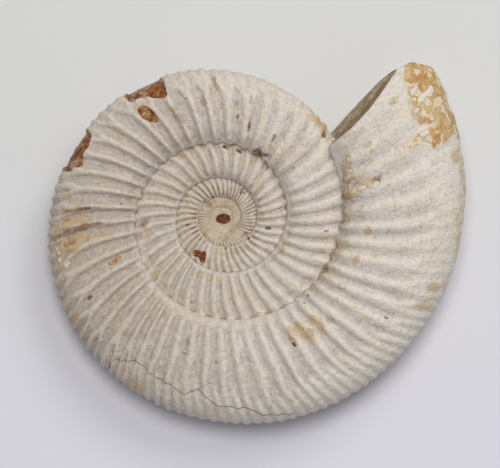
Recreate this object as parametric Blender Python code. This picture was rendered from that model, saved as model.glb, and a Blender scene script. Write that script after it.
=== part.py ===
"""Ammonite fossil: a flat-coiled, widely open shell with forked ribs, lying on its lower side.

The shell is a logarithmic spiral. Every whorl has the same cross-section, scaled with the spiral's
radius, and lies against the whorl inside it, so the umbilicus is an open spiral dish on both sides.
One closed mesh follows the visible skin: a strip of faces winds outwards from the centre, and each
whorl's inner edge is sewn to the whorl inside it along the umbilical seam. Columns of the mesh run
along the ribs and rows run along the spiral. Angles are in degrees, anticlockwise from +X seen from
above, counted through all turns: the broken end is near +36 and every turn inwards takes off 360.
Heights and widths of a section are shares of the spiral's radius at that angle.
"""

import math

import bmesh
import bpy
import numpy as np
from mathutils import Matrix

# Driving dimensions, in metres
SHELL_DIAMETER = 0.100  # across the coil, from the broken end's back to the opposite side
REST_CUT = 0.00025  # how much of the lowest rib crests is worn flat where the shell lies

# Spiral
EXPANSION = 1.88  # growth of the radius in one turn
END_ANGLE = 35.5  # where the shell is broken off, at its outer edge
START_ANGLE = -1900.0  # where the innermost whorl is lost in the central pit
PIT_LEVEL = 0.55  # the pit's floor, as a share of the innermost whorl's half thickness
END_RADIUS = SHELL_DIAMETER / (1 + EXPANSION**-0.5)
WORN = ((-345.0, 1.0), (-300.0, 0.984), (-190.0, 0.984), (-90.0, 0.989), (20.0, 0.995))

# Whorl section: two quarter superellipses on each side of the plane of coiling
HALF_THICKNESS = 0.218
CREST_SHARE = 0.665  # where the flank is highest
DORSAL_SHARE = 0.487  # innermost reach of the umbilical wall
VENTER_SQUARENESS = 2.3
UMBILICAL_SQUARENESS = 2.6
COVERED_SHARE = 0.924  # a whorl is covered by the next one from here outwards

# Ribs: (rib number counted back from the broken end, angle of the groove behind it at mid flank)
RIB_ANCHORS = (
    (0, 33.0), (2, 20.3), (4, 6.8), (5, -0.7), (9, -26.5), (14, -55.8), (20, -93.2), (24, -119.5),
    (26, -129.6), (28, -143.2), (30, -158.1), (32, -174.2), (34, -190.1), (38, -220.0), (42, -252.1),
    (44, -269.2), (46, -289.6), (48, -307.3), (50, -325.4), (54, -358.7), (59, -399.3), (60, -410.8),
    (66, -461.5), (68, -480.0), (71, -501.9), (76, -548.4), (84, -628.3), (90, -695.0), (92, -714.6),
    (98, -770.6), (112, -888.3), (124, -1000.0), (274, -2070.0),
)
# Height of the ribs by angle, and their form: above 1, crests are narrower than grooves
RIB_HEIGHTS = (
    (-1040.0, 0.0), (-1000.0, 0.022), (-720.0, 0.026), (-440.0, 0.027), (-340.0, 0.022),
    (-300.0, 0.018), (-255.0, 0.025), (-140.0, 0.025), (-90.0, 0.019), (-30.0, 0.018),
    (15.0, 0.011), (36.0, 0.009),
)
CREST_FORMS = ((-440.0, 0.7), (-310.0, 0.7), (-265.0, 1.6), (-135.0, 1.6), (-90.0, 1.0))
FORK_SHARE = 0.84  # where a rib forks into two on the uncovered whorl
FORK_SPREAD = 0.07
FORKED_HEIGHT = 0.5  # of a rib's height, once it has forked
MID_FLANK = 0.65
LEAN = 7.5  # degrees forward per unit of share, and the bend towards the venter
LEAN_BEND = 21.0
WALL_SHARES = (0.49, 0.58)  # ribs rise from nothing between these, on the umbilical wall
EDGE_FADE = 0.6  # of a rib's height, where the next whorl covers it

# Broken end: its angle on the upper flank, and how far the lower side stands further forward
END_SHARES = (0.49, 0.60, 0.70, 0.80, 0.88, 0.94, 1.00)
END_UPPER = (33.2, 33.9, 35.7, 38.1, 40.0, 39.2, 35.5)
END_SLANT = (4.8, 6.2, 5.4, 3.6, 1.4, 0.4, 0.0)
END_RIBS = 3.0  # the ribs over which the columns turn from the ribs to the broken end

# Chipped places: angle, share, half length in degrees, half height in share, depth in share
CHIPS = (
    (-204.5, 0.965, 9.0, 0.050, 0.022),
    (-239.0, 0.950, 8.5, 0.050, 0.016),
    (-234.3, 0.805, 2.9, 0.065, 0.012),
)

# Mesh
WALL_ROWS = 5  # between the umbilical seam and the next whorl's edge
VENTER_ROWS = 2  # from there to the middle of the venter
COLUMNS_PER_RIB = 4
LAST_RIB = 250  # where the innermost whorl is lost
INNER_COLUMNS = ((LAST_RIB, 124, 1 / 3), (124, 92, 2), (92, None, 3))  # from rib, to rib, per rib

# Pose: the shell lies on its lower flank, which leans its plane of coiling
LIE_TILT = 2.442
LIE_TOWARDS = -144.42  # the side that sinks

SHELL_COLOUR = (0.62, 0.56, 0.48, 1.0)
SHELL_ROUGHNESS = 0.85
CUTTER_SIZE = 0.3


def smooth_step(low, high, value):
    share = np.clip((value - low) / (high - low), 0.0, 1.0)
    return share * share * (3 - 2 * share)


def spiral_radius(angle):
    """Distance from the axis to the venter at an angle."""
    worn = np.interp(angle, *zip(*WORN))
    return worn * END_RADIUS * EXPANSION ** ((angle - END_ANGLE) / 360.0)


def section_point(turn):
    """Share and height on the upper half section: turn is 0 at the flank's crest and a quarter turn
    at the venter, or at the innermost reach of the umbilical wall when it is negative."""
    squareness = np.where(turn < 0, UMBILICAL_SQUARENESS, VENTER_SQUARENESS)
    reach = np.where(turn < 0, DORSAL_SHARE - CREST_SHARE, 1.0 - CREST_SHARE)
    across = np.abs(np.sin(turn)) ** (2 / squareness)
    up = np.abs(np.cos(turn)) ** (2 / squareness)
    return CREST_SHARE + reach * across, HALF_THICKNESS * up


def outer_turn(share):
    """The turn of section_point at a share outside the flank's crest."""
    across = (share - CREST_SHARE) / (1.0 - CREST_SHARE)
    return math.asin(across ** (VENTER_SQUARENESS / 2))


def seam_turn():
    """The turn at which a section's umbilical wall meets the whorl inside it."""
    height = section_point(outer_turn(COVERED_SHARE))[1] / EXPANSION
    return -math.acos((height / HALF_THICKNESS) ** (UMBILICAL_SQUARENESS / 2))


def spaced_rows(first, last, count):
    """Turns from first to last, with count equal steps along the section."""
    turns = np.linspace(first, last, 400)
    share, height = section_point(turns)
    steps = np.hypot(np.diff(share), np.diff(height))
    length = np.concatenate([[0.0], np.cumsum(steps)])
    return np.interp(np.linspace(0.0, length[-1], count + 1), length, turns)


def section_normal(turn):
    """Outward direction of the upper half section, as a share and a height."""
    step = 1e-4
    behind = section_point(turn - step)
    ahead = section_point(turn + step)
    along = np.array([ahead[0] - behind[0], ahead[1] - behind[1]])
    outward = np.array([-along[1], along[0]]) / np.hypot(*along)
    return outward


def rib_angle(rib, share):
    """Angle of a rib number on the curve that it follows across the flank."""
    numbers, angles = zip(*RIB_ANCHORS)
    off_middle = share - MID_FLANK
    return np.interp(rib, numbers, angles) + LEAN * off_middle + LEAN_BEND * off_middle**2


def rib_relief(rib, angle, share):
    """Height of the ribs and grooves from the smooth section, as a share of the radius."""
    form = np.interp(angle, *zip(*CREST_FORMS))
    single = (0.5 - 0.5 * math.cos(2 * math.pi * rib)) ** form
    forked = FORKED_HEIGHT * (0.5 - 0.5 * math.cos(4 * math.pi * rib)) ** form
    height = np.interp(angle, *zip(*RIB_HEIGHTS)) * smooth_step(*WALL_SHARES, share)
    if angle < END_ANGLE - 360.0:
        height *= 1 - (1 - EDGE_FADE) * smooth_step(COVERED_SHARE - 0.06, COVERED_SHARE, share)
        return height * (single - 0.5)
    fork = smooth_step(FORK_SHARE - FORK_SPREAD, FORK_SHARE + FORK_SPREAD, share)
    return height * (single * (1 - fork) + forked * fork - 0.5 * (1 - (1 - FORKED_HEIGHT) * fork))


def chip_depth(angle, share):
    """Depth of the chipped places, as a share of the radius."""
    depth = 0.0
    for at, across, half_length, half_height, deep in CHIPS:
        off = math.hypot((angle - at) / half_length, (share - across) / half_height)
        depth = max(depth, deep * smooth_step(1.15, 0.75, off))
    return depth


def end_angle(share, side):
    """Angle of the broken end, on the upper (1) or the lower (-1) side of the section."""
    slant = np.interp(share, END_SHARES, END_SLANT)
    return np.interp(share, END_SHARES, END_UPPER) + (slant if side < 0 else 0.0)


def skin_point(rib, turn, side):
    """A point of the shell's skin, before it is laid down."""
    share, height = section_point(turn)
    near_end = max(0.0, 1 - rib / END_RIBS)
    angle = rib_angle(rib, share)
    angle += near_end * (end_angle(share, side) - rib_angle(0, share))
    radius = spiral_radius(angle)
    chipped = chip_depth(angle, share) if side > 0 else 0.0
    lift = rib_relief(rib, angle, share) - chipped
    out, up = section_normal(min(turn, math.pi / 2 - 1e-3))
    rho = radius * (share + lift * out)
    level = side * radius * (height + lift * up) if turn < math.pi / 2 - 1e-6 else 0.0
    around = math.radians(angle)
    return (rho * math.cos(around), rho * math.sin(around), level)


def column_ribs():
    """Rib numbers of the mesh's columns, from the innermost to the broken end, and the one from
    which a whorl is open to the outside over its whole section."""
    first_open = next(
        rib for rib in np.arange(0, LAST_RIB, 1 / COLUMNS_PER_RIB)
        if rib_angle(rib, COVERED_SHARE) + 360.0 <= END_UPPER[0]
    )
    ribs = []
    for from_rib, to_rib, per_rib in INNER_COLUMNS:
        ribs.append(np.arange(from_rib, to_rib or math.ceil(first_open), -1 / per_rib))
    ribs.append(np.arange(first_open, -1e-6, -1 / COLUMNS_PER_RIB))
    return np.concatenate(ribs), first_open


def sew(first, second, first_at, second_at):
    """Triangles between two lines of vertices, in the order that their places along them give."""
    faces = []
    i = k = 0
    while i < len(first) - 1 or k < len(second) - 1:
        second_ended = k == len(second) - 1
        first_is_next = i < len(first) - 1 and first_at[i + 1] <= second_at[min(k + 1, len(second) - 1)]
        if second_ended or first_is_next:
            faces.append((first[i], second[k], first[i + 1]))
            i += 1
        else:
            faces.append((first[i], second[k], second[k + 1]))
            k += 1
    return faces


def build_skin():
    """Vertices and faces of the whole shell."""
    ribs, open_from = column_ribs()
    wall = spaced_rows(seam_turn(), outer_turn(COVERED_SHARE), WALL_ROWS)
    venter = spaced_rows(outer_turn(COVERED_SHARE), math.pi / 2, VENTER_ROWS)
    turns = np.concatenate([wall, venter[1:]])
    edge, middle = WALL_ROWS, WALL_ROWS + VENTER_ROWS
    first_open = int(np.argmin(np.abs(ribs - open_from)))
    points, faces = [], []

    def add(point):
        points.append(point)
        return len(points) - 1

    sides = {1: {}, -1: {}}
    for column, rib in enumerate(ribs):
        last = middle if column >= first_open else edge
        for row in range(1, last + 1):
            sides[1][column, row] = add(skin_point(rib, turns[row], 1))
            if row == middle:
                sides[-1][column, row] = sides[1][column, row]
            else:
                sides[-1][column, row] = add(skin_point(rib, turns[row], -1))

    edge_at = [rib_angle(rib, COVERED_SHARE) + 360.0 for rib in ribs[: first_open + 1]]
    wall_share = section_point(turns[1])[0]
    wall_at = [rib_angle(rib, wall_share) for rib in ribs]
    second_turn = next(c for c, angle in enumerate(wall_at) if angle >= edge_at[0])
    last_column = len(ribs) - 1
    for side, ids in sides.items():
        for column in range(last_column):
            last = middle if column >= first_open else edge
            for row in range(1, last):
                corners = (column, row), (column, row + 1), (column + 1, row + 1), (column + 1, row)
                faces.append([ids[corner] for corner in corners])
        inner_line = [ids[column, edge] for column in range(first_open + 1)]
        outer_line = [ids[column, 1] for column in range(second_turn, last_column + 1)]
        faces += sew(inner_line, outer_line, edge_at, wall_at[second_turn:])
        # The central pit, and the step where the innermost whorl begins
        level = side * spiral_radius(START_ANGLE) * HALF_THICKNESS * PIT_LEVEL
        centre = add((0.0, 0.0, level))
        for column in range(second_turn):
            faces.append([centre, ids[column, 1], ids[column + 1, 1]])
        rim = [ids[0, row] for row in range(1, edge + 1)] + [ids[second_turn, 1]]
        faces += [[centre, rim[i + 1], rim[i]] for i in range(len(rim) - 1)]

    def line_over(column, first_row):
        upper = [sides[1][column, row] for row in range(first_row, middle + 1)]
        lower = [sides[-1][column, row] for row in range(middle - 1, first_row - 1, -1)]
        return upper + lower

    outer_rim = line_over(last_column, 1)
    inner_rim = line_over(first_open, edge)
    faces += sew(
        inner_rim, outer_rim, np.linspace(0, 1, len(inner_rim)), np.linspace(0, 1, len(outer_rim))
    )
    return points, faces


def lay_down(points):
    """Turns the shell onto its lower flank and moves it so that the flank's worn crests reach z = 0."""
    turn = Matrix.Rotation(math.radians(LIE_TILT), 3, (
        -math.sin(math.radians(LIE_TOWARDS)), math.cos(math.radians(LIE_TOWARDS)), 0.0
    ))
    laid = np.array(points) @ np.array(turn).T
    laid[:, 2] -= laid[:, 2].min() + REST_CUT
    laid[:, :2] -= (laid[:, :2].min(axis=0) + laid[:, :2].max(axis=0)) / 2
    return laid


def shell_material():
    material = bpy.data.materials.new("chalky_shell")
    material.use_nodes = True
    surface = material.node_tree.nodes["Principled BSDF"]
    surface.inputs["Base Color"].default_value = SHELL_COLOUR
    surface.inputs["Roughness"].default_value = SHELL_ROUGHNESS
    return material


def add_object(name, points, faces):
    mesh = bpy.data.meshes.new(name)
    mesh.from_pydata([tuple(point) for point in points], [], [tuple(face) for face in faces])
    work = bmesh.new()
    work.from_mesh(mesh)
    bmesh.ops.recalc_face_normals(work, faces=work.faces)
    bmesh.ops.triangulate(work, faces=work.faces)
    work.to_mesh(mesh)
    work.free()
    piece = bpy.data.objects.new(name, mesh)
    bpy.context.scene.collection.objects.link(piece)
    return piece


def add_rest_cutter():
    """The block below z = 0 that planes off the lowest crests."""
    bpy.ops.mesh.primitive_cube_add(size=CUTTER_SIZE, location=(0.0, 0.0, -CUTTER_SIZE / 2))
    cutter = bpy.context.object
    cutter.name = "rest_cutter"
    cutter.hide_render = True
    cutter.display_type = "WIRE"
    return cutter


def main():
    for old in list(bpy.data.objects):
        bpy.data.objects.remove(old)
    points, faces = build_skin()
    shell = add_object("ammonite", lay_down(points), faces)
    shell.data.materials.append(shell_material())
    shell.data.shade_smooth()
    plane_off = shell.modifiers.new("worn_rest", "BOOLEAN")
    plane_off.operation = "DIFFERENCE"
    plane_off.object = add_rest_cutter()


main()
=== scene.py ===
"""Ammonite fossil on a plain pale floor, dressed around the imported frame.

The shell repeats the CAD part's spiral, section, ribs and pose on a finer mesh, and adds forked ribs
that vary, chips down to the brown rock, a crust at the broken end and a worn centre with a pit. Each
vertex carries marks, which tell the material where stains, cracks and chips lie. Angles are in
degrees, anticlockwise from +X seen from above and counted through all turns: the broken end is near
+36, and every turn inwards takes off 360. Shares are of the spiral's radius at an angle. Lengths are
in metres, and in millimetres where a comment says so.
"""

import math

import bmesh
import bpy
import numpy as np
from mathutils import Matrix, Vector


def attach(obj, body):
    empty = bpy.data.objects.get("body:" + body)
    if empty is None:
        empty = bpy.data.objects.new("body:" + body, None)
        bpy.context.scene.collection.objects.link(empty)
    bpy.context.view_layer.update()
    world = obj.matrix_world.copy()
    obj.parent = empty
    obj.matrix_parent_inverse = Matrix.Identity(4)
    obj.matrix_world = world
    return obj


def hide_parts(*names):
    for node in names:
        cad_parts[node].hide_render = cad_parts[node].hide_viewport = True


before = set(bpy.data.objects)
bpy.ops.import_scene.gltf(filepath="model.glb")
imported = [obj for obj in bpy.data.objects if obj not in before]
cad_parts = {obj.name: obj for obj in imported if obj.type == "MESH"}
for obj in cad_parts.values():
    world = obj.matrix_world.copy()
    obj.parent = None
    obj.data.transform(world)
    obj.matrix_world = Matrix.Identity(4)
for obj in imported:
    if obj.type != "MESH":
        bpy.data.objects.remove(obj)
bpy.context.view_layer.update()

MM = 0.001

# The part's own dimensions, with the ribs' heights and forms told apart more finely
SHELL_DIAMETER = 0.100
EXPANSION = 1.88
END_ANGLE = 35.5
START_ANGLE = -1900.0
PIT_LEVEL = 0.55
END_RADIUS = SHELL_DIAMETER / (1 + EXPANSION**-0.5)
WORN = ((-345, 1), (-300, 0.984), (-190, 0.984), (-90, 0.989), (20, 0.995))
HALF_THICKNESS = 0.218
CREST_SHARE = 0.665
DORSAL_SHARE = 0.487
VENTER_SQUARENESS = 2.3
UMBILICAL_SQUARENESS = 2.6
COVERED_SHARE = 0.924
RIB_ANCHORS = (
    (0, 33.0), (2, 20.3), (4, 6.8), (5, -0.7), (9, -26.5), (14, -55.8), (20, -93.2), (24, -119.5),
    (26, -129.6), (28, -143.2), (30, -158.1), (32, -174.2), (34, -190.1), (38, -220.0), (42, -252.1),
    (44, -269.2), (46, -289.6), (48, -307.3), (50, -325.4), (54, -358.7), (59, -399.3), (60, -410.8),
    (66, -461.5), (68, -480.0), (71, -501.9), (76, -548.4), (84, -628.3), (90, -695.0), (92, -714.6),
    (98, -770.6), (112, -888.3), (124, -1000.0), (274, -2070.0),
)
RIB_HEIGHTS = (
    (-1800, 0.026), (-1000, 0.032), (-720, 0.038), (-440, 0.040), (-340, 0.034), (-300, 0.025),
    (-255, 0.032), (-150, 0.033), (-120, 0.024), (-90, 0.019), (-30, 0.018), (15, 0.014), (36, 0.010),
)
# By angle: how narrow the crests are, and how far they stand towards the front of their rib
CREST_FORMS = (
    (-700, 0.8), (-560, 1.3), (-460, 1.1), (-380, 0.7), (-310, 0.7), (-265, 2), (-150, 2.2), (-90, 1.1),
)
CREST_SKEWS = ((-440, 0), (-300, 0), (-260, 0.09), (-150, 0.09), (-110, 0))
MID_FLANK = 0.65
LEAN = 7.5
LEAN_BEND = 21.0
WALL_TOPS = (
    (-700, 0.57), (-340, 0.57), (-310, 0.55), (-170, 0.55), (-110, 0.58), (-60, 0.56), (-30, 0.53),
    (10, 0.52), (20, 0.57),
)
WALL_HEIGHT = 0.09
END_SHARES = (0.49, 0.60, 0.70, 0.80, 0.88, 0.94, 1.00)
END_UPPER = (33.2, 33.9, 35.7, 38.1, 40.0, 39.2, 35.5)
END_SLANT = (4.8, 6.2, 5.4, 3.6, 1.4, 0.4, 0.0)
END_RIBS = 3.0
LIE_TILT = 2.442
LIE_TOWARDS = -144.42
COIL_CENTRE = Vector((-0.007494, 0.005848, 0.010923))  # the spiral's centre, once laid down

# The finer mesh
WALL_ROWS = 48
VENTER_ROWS = 14
LAST_RIB = 250
# From rib, to rib, columns per rib, row steps above and below. At None, the back comes free.
BLOCKS = ((LAST_RIB, 124, 4, 6, 12), (124, 92, 8, 3, 6), (92, None, 10, 2, 4), (None, 0, 13, 1, 2))
CAP_RINGS = 22

# Ribs that differ from one to the next
USUAL_RIB_HEIGHT = 0.018  # a rib this high has a groove of depth 1 for the material
DEEPEST_GROOVE = 1.3
COVERED_FADE = 0.3  # of a rib's height, lost at the edge that the next whorl covers
COVERED_REACH = 0.06
SEED = 11
RIB_COUNT = 300
LIFT_SPREAD = 0.16  # of a rib's height
SHIFT_SPREAD = 0.06  # of the ribs' spacing
FORK_STARTS = (0.78, 0.86)  # each rib of the last whorl begins to fork between these shares
FORK_LENGTH = 0.12
BRANCH_SHIFT = 0.25  # of the ribs' spacing, which is half a branch's width too
BRANCH_SPREAD = 1.4 * LIFT_SPREAD
DRIFT_REACH = (-0.10, 0.06)  # a rib makes room for a new one between these shares around its fork
# By angle: a rib's height once forked, and how far one branch is a new rib in front of the other
FORKED_HEIGHTS = (
    (-330, 0.42), (-240, 0.32), (-205, 0.34), (-175, 0.45), (-155, 0.6), (-130, 0.62), (-100, 0.53),
    (-60, 0.42), (-25, 0.25), (5, 0.15), (36, 0.1),
)
NEW_RIBS = ((-135, 0), (-105, 1), (-42, 1), (-22, 0))

# For what lies far away: mm inside a mark, from a line, and from the centre or the pit
OUTSIDE = -9.0
APART = 9.0
FAR = 99.0

# Unevenness: how much, in mm or as a share, then the size of its cells and its seed
UNEVEN_SKIN = ((0.16, 9 * MM, 1), (0.07, 3.2 * MM, 2), (0.04, 1.3 * MM, 3))
JAGGED_EDGES = ((0.35, 1.1 * MM, 4), (0.15, 0.5 * MM, 5))
UNEVEN_CRUST = (0.25, 1.4 * MM, 6)
RIB_WAVER = (0.05, 3.5 * MM, 7)  # of the ribs' spacing
UNEVEN_RIBS = (0.18, 4.5 * MM, 8)  # of a rib's height
UNEVEN_PIT = (0.06, 0.5 * MM, 9)
UNEVEN_SEAM = (0.15, 1.5 * MM, 10)
CENTRE_PATCHES = (1.0, 2.5 * MM, 12)
RAGGED_PIT = (0.25, 1.1 * MM, 13)
UNEVEN_INNER_RIBS = (0.4, 1.8 * MM, 14)  # of a rib's height
ROUGH_FACE = ((0.45, 4 * MM, 21), (0.25, 1.4 * MM, 22), (0.1, 0.6 * MM, 23))
FACE_FADE = 5.0  # how soon the broken face's roughness sets in from its edges
RIM_BAND = (12.0, 2.0)  # the broken face turns browner between these mm from its upper rim
FULL_RELIEF_RADIUS = 0.04  # on whorls with a smaller radius, the skin's unevenness shrinks too

# The worn centre and the pit in it
WORN_CENTRE = (7.0, 4.0)  # mm from the centre, between which worn patches of the ribs set in
WORN_PATCH = (-0.3, 0.3)  # of the noise, between which a patch is worn
CENTRE_WEAR = 0.7  # of a rib's height
INNER_WHORLS = (14.0, 9.0)  # mm from the centre, between which the ribs become less even
CENTRE_SLOPE = 0.25  # the innermost whorls are worn towards a cone that rises this much outwards
LEVELLED = (6.5 * MM, 3.0 * MM)  # from the centre, between which that wear sets in
LEVELLING = 0.7  # how far it goes towards the cone
PIT_RADIUS = 1.62 * MM
PIT_EDGE = (0.15 * MM, -0.25 * MM)  # past that radius, between which the pit's wall falls
PIT_FLOOR = 0.05 * MM
PIT_DROP = 0.27 * MM  # its middle lies this much below the centre in the picture
PIT_SQUASH = 1.38  # its width over its height

# Relief of the seams, the crust and the chips
SEAM_FILL = (1.1, 0.0)  # mm from a seam, between which it fills up
SEAM_HEIGHT = 0.3 * MM
CRUST_FADE = (39.0, 34.0)  # the crust's relief dies away between these angles
CRUST_EDGE = (-0.6, 0.8)  # mm inside the crust, between which it rises
CRUST_HEIGHT = 0.35  # mm
SMALL_EDGE = (-0.1, 0.25)  # mm inside a nodule or a chip on the flank
NODULE_HEIGHT = 0.16 * MM
CHIPPED_RIBS = (-0.2, 0.5)  # mm inside a chip at the back, between which the ribs go
RIBS_LOST = 0.7  # of a rib's height, within a chip at the back
# Chips: the mark, the mm inside it between which its wall falls, and its depth in mm
CHIP_DEPTHS = (("edge_chip", CHIPPED_RIBS, 0.7), ("chip", SMALL_EDGE, 0.35), ("gap", (-0.3, 0.5), 0.8))

# Chips at the shell's back: for each angle, the share from which the skin is gone
EDGE_CHIPS = (
    ((-195.6, 1.03), (-197, 0.935), (-200, 0.893), (-203, 0.905), (-209, 0.922), (-212, 0.945),
     (-214.2, 1.03)),
    ((-230.4, 1.03), (-231.3, 0.93), (-236, 0.915), (-239, 0.895), (-242, 0.865), (-244.6, 0.835),
     (-246.2, 0.86), (-247.2, 1.03)),
)
EDGE_CHIP_REACH = (0.985, 0.07)  # the share they reach round the back: at their ends, and more midway

# Places on the skin: angle, share, half length along the coil and half height along the ribs in mm
FLANK_CHIPS = (
    (-234.3, 0.8, 1.45, 2.6), (-157.7, 0.625, 0.55, 1.9), (-633, 0.875, 0.8, 0.4),
    (-643.5, 0.865, 0.8, 0.5), (-836.5, 0.79, 0.7, 1.35), (-846.5, 0.83, 0.75, 0.8), (-841, 0.79, 0.9, 0.8),
    (-888, 0.7, 0.35, 0.6),
)
AMBER = ((-157.7, 0.625, 0.55, 1.8),)
GAPS = ((-300.2, 0.512, 1.5, 0.7), (-304.8, 0.532, 1.0, 0.5), (-321.0, 0.965, 0.5, 0.6))
CRUST = (
    (33, 0.96, 5.4, 5.2), (28, 0.93, 3.6, 4.6), (37.5, 0.95, 3, 4.6), (22, 0.96, 3.2, 2.9),
    (21.6, 0.885, 1.3, 3.4), (21, 0.82, 1.1, 2.2), (31.5, 0.9, 4.2, 2.8), (19.5, 1, 1.6, 1.2),
    (20.8, 0.93, 2.6, 3.2),
)
CRAZED = ((20.0, 0.66, 9.0, 7.0), (2.0, 0.64, 7.0, 6.0))
NODULES = (
    (24.1, 0.552, 0.7, 0.5), (17, 0.525, 0.8, 0.5), (15, 0.547, 0.6, 0.7), (11.2, 0.581, 0.5, 0.9),
    (13, 0.53, 0.7, 0.4), (19.5, 0.536, 0.5, 0.7), (30.5, 0.905, 0.8, 1.5), (33, 0.885, 0.8, 1.1),
    (28.4, 0.862, 0.6, 0.9), (22, 0.86, 0.7, 1.2), (31.4, 0.945, 0.9, 1.1), (-163.2, 0.905, 0.75, 0.75),
    (-165.6, 0.935, 0.5, 0.5), (-167.6, 0.925, 0.45, 0.5), (-169.4, 0.94, 0.5, 0.45),
    (-171, 0.915, 0.4, 0.4), (-30, 0.61, 0.6, 0.75),
)
DOTS = (
    (13, 0.652, 0.25, 0.7), (-60.4, 0.67, 0.5, 0.75), (-31.5, 0.84, 0.35, 0.8), (-42.6, 0.527, 0.5, 0.3),
    (-45.8, 0.535, 0.35, 0.3), (-146.3, 0.865, 0.4, 0.3), (-148.6, 0.84, 0.45, 0.7),
    (-104.6, 0.7, 0.6, 0.2), (-92, 0.71, 0.18, 1.4), (-134.6, 0.598, 0.35, 0.22),
    (-187.5, 0.583, 0.35, 0.22), (-224.3, 0.867, 0.3, 0.25), (-253.3, 0.808, 0.35, 0.2),
    (-333.8, 0.675, 0.4, 0.45), (-340, 0.73, 0.2, 0.6), (-325.5, 0.63, 0.2, 0.7), (-758, 0.52, 0.45, 0.3),
    (-804, 0.52, 0.5, 0.3), (-671.5, 0.895, 0.4, 0.22), (-469.8, 0.85, 0.3, 0.35),
    (-480.5, 0.89, 0.35, 0.22), (-733.5, 0.7, 0.4, 0.9), (-367.5, 0.82, 0.35, 0.6),
    (-127.2, 0.965, 0.35, 0.9), (-279, 0.69, 0.3, 0.7), (-286.8, 0.66, 0.3, 1.1), (-303.5, 0.66, 0.25, 1.2),
    (-183.4, 0.79, 0.3, 1.6), (-1023.5, 0.846, 0.3, 0.4), (-1028, 0.915, 0.3, 0.3),
    (-1026.5, 0.751, 0.3, 0.3), (-1031, 0.806, 0.3, 0.4), (-678.1, 0.495, 0.4, 0.3), (-930, 0.89, 0.4, 0.3),
    (-965, 0.505, 0.4, 0.25), (-942.5, 0.529, 0.4, 0.25), (-1280.3, 0.843, 0.3, 0.25),
    (-1812.5, 0.913, 0.35, 0.25), (-505.6, 0.492, 0.5, 0.3), (-758.4, 0.53, 0.45, 0.3),
    (-1136.5, 0.784, 0.6, 0.25), (-406.7, 0.544, 0.7, 0.2), (-672.5, 0.897, 0.4, 0.3),
    (-21, 0.495, 1.6, 0.13), (-28, 0.497, 2, 0.13), (-34, 0.493, 1.8, 0.15), (-40, 0.498, 2, 0.13),
    (-47, 0.494, 2.2, 0.15), (-54, 0.497, 1.8, 0.12), (-282, 0.5, 2.6, 0.1), (-293, 0.498, 1.6, 0.12),
    (-330, 0.905, 1.2, 0.16), (-334.5, 0.907, 0.9, 0.14), (-309, 0.5, 2.2, 0.12), (-317, 0.496, 2, 0.1),
    (-14, 0.497, 1.4, 0.15), (-3, 0.5, 1.5, 0.2),
)
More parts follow.
